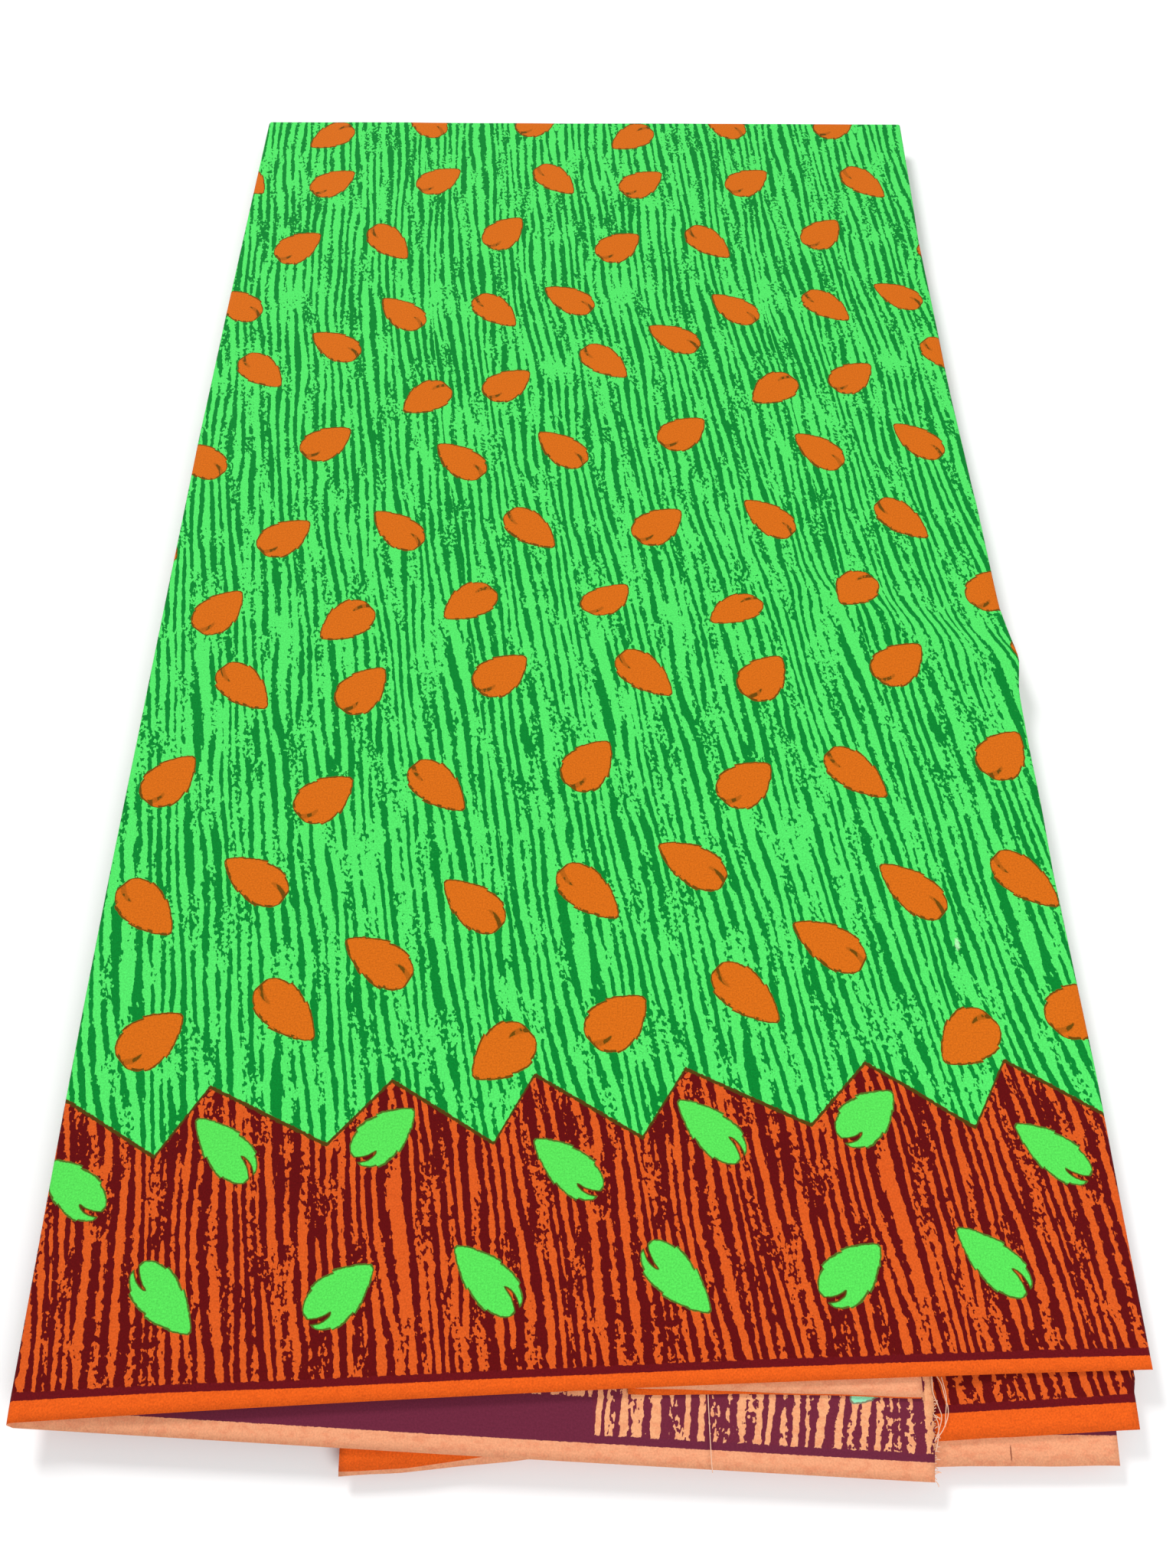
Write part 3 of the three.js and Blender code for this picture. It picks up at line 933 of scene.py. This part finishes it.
def folded_length_rows():
    length = back_fold(0) - front_edge(0)
    count_v = round((length - 2) / STEP)
    front_shares = [k / count_v for k in range(count_v + 1)]
    count_u = round(2 * HALF_WIDTH / STEP)
    columns = [k / count_u for k in range(count_u + 1)]
    outer = FOLD_RADIUS + CLOTH / 2
    flap_rows = [j for j in range(count_v) if j * STEP <= FLAP_DEPTH]
    flap_count = round((FLAP_END - FLAP_START) / STEP)
    e = END_ASKEW
    rows = []
    for j in range(len(front_shares) + len(ROLL_TURNS)):
        rolling = max(j - count_v, 0)
        share = front_shares[min(j, count_v)]
        roll = ROLL_TURNS[rolling - 1] if rolling else 0.0
        row = []
        rough_y = lerp(front_edge(0), back_fold(0), share)
        left = left_side(rough_y, LEFT_SPREAD) + outer
        right = right_side(rough_y, 1.0) - outer

        def place(x, turn, side, lip=0.0):
            front = front_edge(x)
            end = back_fold(x) - outer
            y = lerp(front, end, share)
            middle = MIDDLE - FOLD_RADIUS + relief(x, y) + ripple(x, y) * smooth(share, 0, 0.03)
            out_by = FOLD_RADIUS * math.sin(turn) - lip
            rise = FOLD_RADIUS * math.cos(turn)
            if turn > math.pi / 2:
                y_roll = y
            else:
                y_roll = y + FOLD_RADIUS * math.sin(roll)
                rise *= math.cos(roll)
            v = y - front + (PLAIN_STRIP - selvedge_width(x)) + FOLD_RADIUS * roll
            if side < 0:
                y_roll += (along(FLAP_FRONT, x) - front) * turn / math.pi
            u = x + side * (FOLD_RADIUS * turn + lip)
            v -= drift(u, v)
            return (x + side * out_by, y_roll, middle + rise, u, v)

        for k in (1, 0.5):
            row.append(place(right, math.pi, 1, LIP * k))
        for k in range(FOLD_STEPS, 0, -1):
            row.append(place(right, math.pi * k / FOLD_STEPS, 1))
        for t in reversed(columns):
            row.append(place(lerp(left, right, t), 0.0, 0))
        for k in range(1, FOLD_STEPS + 1):
            row.append(place(left, math.pi * k / FOLD_STEPS, -1))
        last = row[-1]
        if j in flap_rows:
            v0 = j * STEP
            end = FLAP_END + FLAP_SLANT * v0 / FLAP_DEPTH
            for n in range(1, flap_count + 1):
                x = lerp(last[0], end, n / flap_count)
                front = along(FLAP_FRONT, x)
                ease = smooth(x, last[0], last[0] + FLAP_EASE)
                y = front + v0
                z = lerp(last[2], FLAP_LEVEL - CLOTH / 2 - sag(y), ease)
                slip = FLAP_SLIP * smooth(x, FLAP_SLIP_FROM, FLAP_SLIP_TO)
                askew = e["depth"] * smooth(x, e["x1"], e["x2"]) - e["lift"]
                askew *= smooth(v0, e["v1"], e["v2"])
                u = last[3] - (x - last[0]) + slip
                v = lerp(last[4], y - front - FLAP_TRIM + askew, ease)
                row.append((x, y, z, u, v))
        else:
            row.append((last[0] + LIP, last[1], last[2], last[3] - LIP, last[4]))
            row += [None] * (flap_count - 1)
        rows.append(row)
    return rows


rows = folded_length_rows()
folded_length = cloth_mesh("folded_length", rows, FACES_UP, printed_up=False)

# %% [markdown]
# ## The flaps that show at the front
# Other layers of the same length end here, a few millimetres apart, because nobody squares a
# folded cloth exactly. Each one is a short flap that runs in under the top cloth. Some lie printed
# side up and some wrong side up. Their free edges sink a little, as an unsupported edge does.

# %% Build the flaps


DROOP_OVER = 12


def flap_rows(front, level, plain, start_u, rows=9, droop=0.0, under=0.0):
    """Rows of a flap. front is its edge, plain the width of its plain strip, droop its sinking."""
    left, right = front[0][0], front[-1][0]
    columns = round((right - left) / STEP)
    made = []
    for j in range(rows + 1):
        row = []
        for i in range(columns + 1):
            x = lerp(left, right, i / columns)
            edge = along(front, x)
            wave = 0.25 * noise.noise(Vector((x / 13, level, 2.7)))
            y = lerp(edge + wave, STRIP_BACK, j / rows)
            fall = droop * (1 - smooth(y, edge, edge + DROOP_OVER))
            unevenness = 0.12 * noise.noise(Vector((x / 24, y / 9, level)))
            z = level - CLOTH / 2 - sag(y) - fall - under + unevenness
            trim = lerp(plain[0], plain[1], i / columns)
            row.append((x, y, z, start_u + x, y - edge + PLAIN_STRIP - trim))
        made.append(row)
    return made


FLAP_COLUMNS = ("node", "level", "printed_up", "plain", "start", "droop", "front")
FLAP_ROWS = [
    ("tucked_strip", STRIP_LEVEL, False, (9.5, 9.5), 31, 0.3, [(-166, -284.0), (103, -291.8)]),
    (
        "right_upper_ply", UPPER_LEVEL, True, (7.3, 7.3), 57, 0.3,
        [(14, -307.0), (106, -303.6), (167.8, -300.4)],
    ),
    ("right_lower_ply", LOWER_LEVEL, False, (9.6, 8.0), 972, 0.4, [(50, -310.4), (161, -310.0)]),
    (
        "left_upper_ply", UPPER_LEVEL, True, (14.0, 14.0), 91, 0.6,
        [(-72.3, -311.4), (-53, -310.7), (-31, -307.7), (11, -300.0)],
    ),
    (
        "left_lower_ply", LOWER_LEVEL, False, (14.0, 14.0), 140, 0.5,
        [(-72.5, -312.7), (-55, -311.9), (-19.5, -308.6), (46, -302.0)],
    ),
]
FLAPS = [dict(zip(FLAP_COLUMNS, row)) for row in FLAP_ROWS]
flaps = {}
for f in FLAPS:
    made = flap_rows(f["front"], f["level"], f["plain"], f["start"], droop=f["droop"])
    flaps[f["node"]] = cloth_mesh(f["node"], made, FACES_UP, printed_up=f["printed_up"])

# %% [markdown]
# Under the tucked strip lies its own partner layer, printed side up. Only a thin bright line of it
# shows, a little wider towards the left.

# %% Build the partner of the tucked strip
PARTNER_FRONT = [(14, -290.9), (26, -291.2), (45, -290.9), (60, -290.9), (102.4, -292.1)]
partner = cloth_mesh(
    "tucked_partner",
    flap_rows(PARTNER_FRONT, STRIP_LEVEL, (9.5, 9.5), 120, rows=6, under=0.5),
    FACES_UP,
)

# %% [markdown]
# ## The hidden layers
# Below the top cloth lie about thirty more layers, in doubled folds. All that shows of them is a
# stack of rounded edges. One edge follows the outline of the pile, so one outline and a profile are
# enough, and Geometry Nodes repeats the edge upwards, shifts each one in or out by chance, and
# lets it wander. A plain slab fills the inside and gives the pile its flat underside.

# %% The outline of the hidden layers
CORE_FRONT = [
    (-174, -294.5), (-78, -298.5), (-72, -305.5), (158, -305.0), (166, -296.0), (174, -290.0),
]
NOTCH_FRONT = [(-174, -296.5), (-80, -298.5), (-74, -262.0), (174, -262.0)]
CROWN_FRONT = [(-174, -262.0), (174, -262.0)]
OUTLINE_STEP = 5.0


def pile_point(front, inset, across, inwards):
    """A place on the pile's plan, across from 0 at the left and inwards from 0 at the front."""
    rough_y = lerp(along(front, 0), back_fold(0) - inset, inwards)
    x = lerp(left_side(rough_y) + inset, right_side(rough_y) - inset, across)
    return x, lerp(along(front, x), back_fold(x) - inset, inwards)


def pile_outline(front, inset):
    """Points round the pile, with its corners eased."""
    wide = round(2 * HALF_WIDTH / OUTLINE_STEP)
    deep = round(2 * HALF_LENGTH / OUTLINE_STEP)
    points = [pile_point(front, inset, k / wide, 0) for k in range(wide)]
    points += [pile_point(front, inset, 1, k / deep) for k in range(deep)]
    points += [pile_point(front, inset, 1 - k / wide, 1) for k in range(wide)]
    points += [pile_point(front, inset, 0, 1 - k / deep) for k in range(deep)]
    count = len(points)
    eased = []
    for k in range(count):
        near = [points[(k + d) % count] for d in (-1, 0, 0, 1)]
        eased.append((sum(p[0] for p in near) / 4, sum(p[1] for p in near) / 4))
    return eased


# %% Geometry Nodes tree: a stack of folded edges


def geometry_tree(name, inputs):
    """A Geometry Nodes tree that takes a geometry and named inputs, and gives a geometry."""
    geometry = ("Geometry", "NodeSocketGeometry")
    return new_tree(name, "GeometryNodeTree", [(*geometry, None), *inputs], [geometry])


def join(nodes, node, **values):
    """Puts values or sockets on a node's inputs by name, with _ for a blank."""
    for key, value in values.items():
        nodes.put(node.inputs[key.replace("_", " ")], value)
    return node.outputs[0]


WAVES_PER_METRE = 22.0
LAYER_SPREAD = 40.0
EDGE_OVERLAP = 0.56
MATERIAL = "NodeSocketMaterial"
INTEGER = "NodeSocketInt"
edges_tree, g, inp, out = geometry_tree(
    "folded_edges",
    [
        ("Edges", INTEGER, 8),
        ("Rise", FLOAT, 0.0009),
        ("Lowest", FLOAT, 0.0),
        ("Edge depth", FLOAT, 0.003),
        ("Shift", FLOAT, 0.001),
        ("Wander", FLOAT, 0.0008),
        ("Seed", INTEGER, 3),
        ("Material", MATERIAL, None),
    ],
)
outline = join(g, g.add("GeometryNodeMeshToCurve"), Mesh=inp["Geometry"])
first = g.times_plus(inp["Rise"], 0.5, inp["Lowest"])
levels = join(
    g, g.add("GeometryNodeMeshLine", mode="OFFSET"), Count=inp["Edges"],
    Start_Location=g.vector(0, 0, first), Offset=g.vector(0, 0, inp["Rise"]),
)
chance = g.add("FunctionNodeRandomValue", data_type="FLOAT")
join(g, chance, Seed=inp["Seed"])
chance_value = next(o for o in chance.outputs if o.enabled)
marked = join(
    g, g.add("GeometryNodeStoreNamedAttribute", data_type="FLOAT", domain="POINT"),
    Geometry=levels, Name="chance", Value=chance_value,
)
copies = join(g, g.add("GeometryNodeInstanceOnPoints"), Points=marked, Instance=outline)
loops = join(g, g.add("GeometryNodeRealizeInstances"), Geometry=copies)
edge_chance = join(g, g.add("GeometryNodeInputNamedAttribute", data_type="FLOAT"), Name="chance")
outward = g.add("ShaderNodeVectorMath", operation="CROSS_PRODUCT")
g.put(outward.inputs[0], g.add("GeometryNodeInputTangent").outputs[0])
g.put(outward.inputs[1], g.vector(0, 0, 1.0))
spot = g.add("ShaderNodeVectorMath", operation="MULTIPLY_ADD")
g.put(spot.inputs[0], g.add("GeometryNodeInputPosition").outputs[0])
g.put(spot.inputs[1], g.vector(WAVES_PER_METRE, WAVES_PER_METRE, 0.0))
g.put(spot.inputs[2], g.vector(0.0, 0.0, g.times(edge_chance, LAYER_SPREAD)))
wander = g.minus(g.noise(spot.outputs[0], 2.0), 0.5)
by_chance = g.times(g.minus(edge_chance, 1.0), inp["Shift"])
amount = g.times_plus(wander, g.times(inp["Wander"], 2.0), by_chance)
move = g.add("ShaderNodeVectorMath", operation="SCALE")
g.put(move.inputs[0], outward.outputs[0])
g.put(move.inputs["Scale"], amount)
shifted = join(g, g.add("GeometryNodeSetPosition"), Geometry=loops, Offset=move.outputs[0])
upright = join(g, g.add("GeometryNodeSetCurveNormal", mode="Z_UP"), Curve=shifted)
circle = join(g, g.add("GeometryNodeCurvePrimitiveCircle"), Resolution=10, Radius=1.0)
oval = join(
    g, g.add("GeometryNodeTransform"), Geometry=circle,
    Scale=g.vector(inp["Edge depth"], g.times(inp["Rise"], EDGE_OVERLAP), 1.0),
)
swept = join(g, g.add("GeometryNodeCurveToMesh"), Curve=upright, Profile_Curve=oval)
smooth_edges = join(g, g.add("GeometryNodeSetShadeSmooth"), Geometry=swept)
whole = join(g, g.add("GeometryNodeRealizeInstances"), Geometry=smooth_edges)
finished = join(g, g.add("GeometryNodeSetMaterial"), Geometry=whole, Material=inp["Material"])
g.put(out["Geometry"], finished)
print(edges_tree.name, len(edges_tree.nodes), "nodes")


def grown(name, mesh, tree, values):
    """Runs a Geometry Nodes tree on a mesh and gives its result as a plain mesh."""
    obj = new_object(name, mesh)
    modifier = obj.modifiers.new(tree.name, "NODES")
    modifier.node_group = tree
    named = {i.name: i.identifier for i in tree.interface.items_tree if i.in_out == "INPUT"}
    for label, value in values.items():
        modifier[named[label]] = value
    bpy.context.view_layer.update()
    evaluated = obj.evaluated_get(bpy.context.evaluated_depsgraph_get())
    result = bpy.data.meshes.new_from_object(evaluated)
    obj.modifiers.remove(modifier)
    bpy.data.objects.remove(obj)
    print(name, len(result.polygons), "faces")
    return result


# %% Build the hidden layers
STACKS = [
    {"name": "lower", "front": CORE_FRONT, "inset": 1.4, "low": 0.0, "high": 7.0, "edges": 8},
    {"name": "upper", "front": NOTCH_FRONT, "inset": 1.5, "low": 7.0, "high": 10.2, "edges": 4},
    {"name": "crown", "front": CROWN_FRONT, "inset": 4.6, "low": 10.2, "high": 12.6, "edges": 3},
]
EDGE_DEPTH = 3.0
EDGE_SHIFT = 0.9
EDGE_WANDER = 0.7
FIRST_SEED = 11
SLAB_STEP = 12.0
SLAB_DROP = 0.1


def pile_slab(low, high, front, inset):
    """A closed slab on the pile's plan, cut into a grid so that it can follow the soft creases."""
    wide = round(2 * HALF_WIDTH / SLAB_STEP)
    deep = round(2 * HALF_LENGTH / SLAB_STEP)
    made = bmesh.new()
    bottom, top = {}, {}
    for j in range(deep + 1):
        for i in range(wide + 1):
            x, y = pile_point(front, inset, i / wide, j / deep)
            bottom[i, j] = made.verts.new(placed(x, y, low))
            top[i, j] = made.verts.new(placed(x, y, high))
    for j in range(deep):
        for i in range(wide):
            made.faces.new([top[c] for c in ((i, j), (i + 1, j), (i + 1, j + 1), (i, j + 1))])
            made.faces.new([bottom[c] for c in ((i, j), (i, j + 1), (i + 1, j + 1), (i + 1, j))])
    ring = [(i, 0) for i in range(wide)] + [(wide, j) for j in range(deep)]
    ring += [(i, deep) for i in range(wide, 0, -1)] + [(0, j) for j in range(deep, 0, -1)]
    for a, b in zip(ring, ring[1:] + ring[:1]):
        made.faces.new([bottom[a], bottom[b], top[b], top[a]])
    mesh = bpy.data.meshes.new("slab")
    made.to_mesh(mesh)
    made.free()
    return mesh


stack = bmesh.new()
for n, s in enumerate(STACKS):
    front_inside = [(x, y + EDGE_DEPTH) for x, y in s["front"]]
    outline_points = pile_outline(front_inside, s["inset"] + EDGE_DEPTH)
    loop_mesh = bpy.data.meshes.new("outline")
    loop_edges = [(k, (k + 1) % len(outline_points)) for k in range(len(outline_points))]
    loop_mesh.from_pydata([placed(x, y, 0) for x, y in outline_points], loop_edges, [])
    folded_edges = grown(
        "edges_" + s["name"], loop_mesh, edges_tree,
        {
            "Edges": s["edges"], "Rise": (s["high"] - s["low"]) / s["edges"] * MM,
            "Lowest": s["low"] * MM, "Edge depth": EDGE_DEPTH * MM, "Shift": EDGE_SHIFT * MM,
            "Wander": EDGE_WANDER * MM, "Seed": FIRST_SEED + n, "Material": printed_side,
        },
    )
    stack.from_mesh(folded_edges)
    stack.from_mesh(pile_slab(s["low"], s["high"] - SLAB_DROP, front_inside, s["inset"] + EDGE_DEPTH))

PLY_OFFSET = 67.0
PRINT_RISE = 0.85
PRINT_FRONT = -304.0
WRONG_SIDE_FRONT = -288.0
for vert in stack.verts:
    x, y = vert.co.x / MM - SHIFT_X, vert.co.y / MM - SHIFT_Y
    vert.co.z *= 1 + relief(x, y) / TOP_LEVEL
    vert.co.z = max(vert.co.z, 0.0)
hidden_mesh = bpy.data.meshes.new("hidden_plies")
stack.to_mesh(hidden_mesh)
stack.free()


def layer_of(face):
    """Which layer of the pile a face belongs to, counted from the table."""
    return int(face.center.z / MM / PRINT_RISE)


def hidden_place(face, loop):
    """Each layer carries the print, moved along by its own amount."""
    point = hidden_mesh.vertices[hidden_mesh.loops[loop].vertex_index].co / MM
    return point.x + layer_of(face) * PLY_OFFSET, point.y - PRINT_FRONT


write_measures(hidden_mesh, hidden_place)
hidden_mesh.shade_smooth()
hidden_plies = new_object("hidden_plies", hidden_mesh, FACES_UP)
for face in hidden_mesh.polygons:
    at_front = face.center.y / MM < WRONG_SIDE_FRONT
    face.material_index = 1 if at_front and layer_of(face) % 2 else 0
print("hidden plies", len(hidden_mesh.polygons), "faces")

# %% [markdown]
# ## Loose yarns
# The end flap is a raw cut end, so its lengthwise yarns have slipped out. Short ends stand along the
# cut, and a few long ones curl away. One tree sweeps both kinds: the long ones are drawn as paths,
# and the short ones are placed along the cut by chance.

# %% Geometry Nodes tree: loose yarns
yarn_tree, g, inp, out = geometry_tree(
    "loose_yarns",
    [
        ("Cut front", VECTOR, None),
        ("Cut back", VECTOR, None),
        ("Short yarns", INTEGER, 30),
        ("Short length", FLOAT, 0.0016),
        ("Yarn radius", FLOAT, 0.00014),
        ("Seed", INTEGER, 5),
        ("Material", MATERIAL, None),
    ],
)
long_ones = join(g, g.add("GeometryNodeMeshToCurve"), Mesh=inp["Geometry"])
cut = join(
    g, g.add("GeometryNodeMeshLine", mode="END_POINTS"), Count=inp["Short yarns"],
    Start_Location=inp["Cut front"], Offset=inp["Cut back"],
)
short = g.add("GeometryNodeCurveQuadraticBezier")
join(
    g, short, Resolution=6, Start=g.vector(-0.3, 0, 0), Middle=g.vector(0.6, 0.1, 0.05),
    End=g.vector(1.0, -0.25, -0.25),
)
turn = g.add("FunctionNodeRandomValue", data_type="FLOAT_VECTOR")
g.put(turn.inputs[0], (-0.5, -0.25, -0.7))
g.put(turn.inputs[1], (0.5, 0.35, 0.7))
join(g, turn, Seed=inp["Seed"])
size = g.add("FunctionNodeRandomValue", data_type="FLOAT")
g.put(size.inputs[2], 0.35)
g.put(size.inputs[3], 1.5)
g.put(size.inputs["Seed"], g.plus(inp["Seed"], 7.0))
length = g.times(size.outputs[1], inp["Short length"])
short_ones = join(
    g, g.add("GeometryNodeInstanceOnPoints"), Points=cut, Instance=short.outputs[0],
    Rotation=turn.outputs[0], Scale=g.vector(length, length, length),
)
short_ones = join(g, g.add("GeometryNodeRealizeInstances"), Geometry=short_ones)
both = g.add("GeometryNodeJoinGeometry")
g.put(both.inputs[0], long_ones)
g.put(both.inputs[0], short_ones)
round_profile = join(
    g, g.add("GeometryNodeCurvePrimitiveCircle"), Resolution=6, Radius=inp["Yarn radius"],
)
yarns = join(
    g, g.add("GeometryNodeCurveToMesh"), Curve=both.outputs[0], Profile_Curve=round_profile,
    Fill_Caps=True,
)
yarns = join(g, g.add("GeometryNodeSetShadeSmooth"), Geometry=yarns)
yarns = join(g, g.add("GeometryNodeRealizeInstances"), Geometry=yarns)
yarns = join(g, g.add("GeometryNodeSetMaterial"), Geometry=yarns, Material=inp["Material"])
g.put(out["Geometry"], yarns)
print(yarn_tree.name, len(yarn_tree.nodes), "nodes")

# %% Build the loose yarns
yarn_colour = bpy.data.materials.new("loose_yarn")
yarn_colour.use_nodes = True
yarn_shader = yarn_colour.node_tree.nodes["Principled BSDF"]
yarn_shader.inputs["Base Color"].default_value = dye(246, 196, 166)
yarn_shader.inputs["Roughness"].default_value = 0.8

LONG_YARNS = [
    [(106.3, -286.0, 11.7), (106.2, -290.4, 11.4), (107.5, -294.4, 10.8), (108.2, -297.1, 10.4),
     (106.8, -300.9, 10.0), (105.2, -303.4, 10.5)],
    [(107.9, -286.2, 11.5), (109.1, -288.3, 11.2), (109.8, -291.8, 10.7), (110.5, -294.6, 10.2),
     (110.0, -297.4, 10.0), (107.9, -300.9, 9.9), (105.4, -303.0, 10.3)],
    [(109.3, -286.4, 11.3), (109.9, -289.0, 10.9), (110.3, -292.2, 10.4), (109.6, -296.4, 10.0),
     (109.0, -299.6, 9.9)],
    [(105.6, -296.0, 11.1), (106.9, -298.6, 10.4), (106.6, -302.2, 10.1), (105.2, -306.0, 10.6)],
    [(38.2, -291.0, 11.35), (38.3, -300.0, 11.2), (38.5, -308.0, 10.6), (38.7, -311.4, 10.2)],
]


def smooth_path(points, steps=5):
    """A path through the points, rounded by Catmull and Rom's rule."""
    made = []
    for k in range(len(points) - 1):
        p0, p1, p2, p3 = (Vector(points[clamp(k + d, 0, len(points) - 1)]) for d in (-1, 0, 1, 2))
        for n in range(steps):
            t = n / steps
            made.append(
                0.5 * ((2 * p1) + (p2 - p0) * t + (2 * p0 - 5 * p1 + 4 * p2 - p3) * t ** 2
                       + (3 * p1 - p0 - 3 * p2 + p3) * t ** 3)
            )
    return made + [Vector(points[-1])]


CUT_FRONT = -313.6
CUT_BACK = -292.0
CUT_LEAN = 1.8
FLAP_MIDDLE = FLAP_LEVEL - CLOTH / 2
yarn_points, yarn_edges = [], []
for path in LONG_YARNS:
    rounded = smooth_path(path)
    first = len(yarn_points)
    yarn_points += [placed(*p) for p in rounded]
    yarn_edges += [(first + k, first + k + 1) for k in range(len(rounded) - 1)]
path_mesh = bpy.data.meshes.new("yarn_paths")
path_mesh.from_pydata(yarn_points, yarn_edges, [])
yarn_mesh = grown(
    "yarns", path_mesh, yarn_tree,
    {
        "Cut front": placed(FLAP_END, CUT_FRONT, FLAP_MIDDLE - sag(CUT_FRONT)),
        "Cut back": placed(FLAP_END + CUT_LEAN, CUT_BACK, FLAP_MIDDLE - sag(CUT_BACK)),
        "Short yarns": 30, "Material": yarn_colour,
    },
)
loose_yarns = new_object("loose_yarns", yarn_mesh)

# %% [markdown]
# ## Floor, light and camera
# A plain pale floor, broad soft lights and a camera above the front edge, looking steeply down.

# %% Floor, lights, camera
floor_mesh = bpy.data.meshes.new("floor")
FLOOR = 3.0
corners = [(-FLOOR, -FLOOR, 0), (FLOOR, -FLOOR, 0), (FLOOR, FLOOR, 0), (-FLOOR, FLOOR, 0)]
floor_mesh.from_pydata(corners, [], [(0, 1, 2, 3)])
floor_paint = bpy.data.materials.new("pale_floor")
floor_paint.use_nodes = True
floor_shader = floor_paint.node_tree.nodes["Principled BSDF"]
floor_shader.inputs["Base Color"].default_value = (0.9, 0.9, 0.9, 1)
floor_shader.inputs["Roughness"].default_value = 0.9
floor = new_object("floor", floor_mesh, [floor_paint])


def soft_light(name, place, size, power):
    data = bpy.data.lights.new(name, "AREA")
    data.shape = "DISK"
    data.size = size
    data.energy = power
    light = new_object(name, data)
    light.location = place
    light.rotation_euler = (-Vector(place)).to_track_quat("-Z", "Y").to_euler()


soft_light("key", (-1.2, 1.8, 2.0), 0.8, 54)
soft_light("fill", (0.6, -1.0, 1.1), 0.9, 12)
world = bpy.data.worlds.new("studio")
world.use_nodes = True
world.node_tree.nodes["Background"].inputs["Color"].default_value = (1, 1, 1, 1)
world.node_tree.nodes["Background"].inputs["Strength"].default_value = 0.53
bpy.context.scene.world = world
bpy.context.scene.view_settings.view_transform = "Standard"

camera_data = bpy.data.cameras.new("camera")
camera_data.lens = 26.0
camera_data.sensor_width = 36.0
camera = new_object("camera", camera_data)
camera.location = (0.00205, -0.2793, 0.3996)
camera.rotation_euler = (math.radians(26.6), 0, 0)
bpy.context.scene.camera = camera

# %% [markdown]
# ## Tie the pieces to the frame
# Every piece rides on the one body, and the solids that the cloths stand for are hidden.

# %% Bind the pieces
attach(folded_length, "root")
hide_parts("top_panel", "end_flap")
for f in FLAPS:
    piece = flaps[f["node"]]
    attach(piece, "root")
    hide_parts(f["node"])
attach(partner, "root")
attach(hidden_plies, "root")
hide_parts("hidden_layers")
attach(loose_yarns, "root")
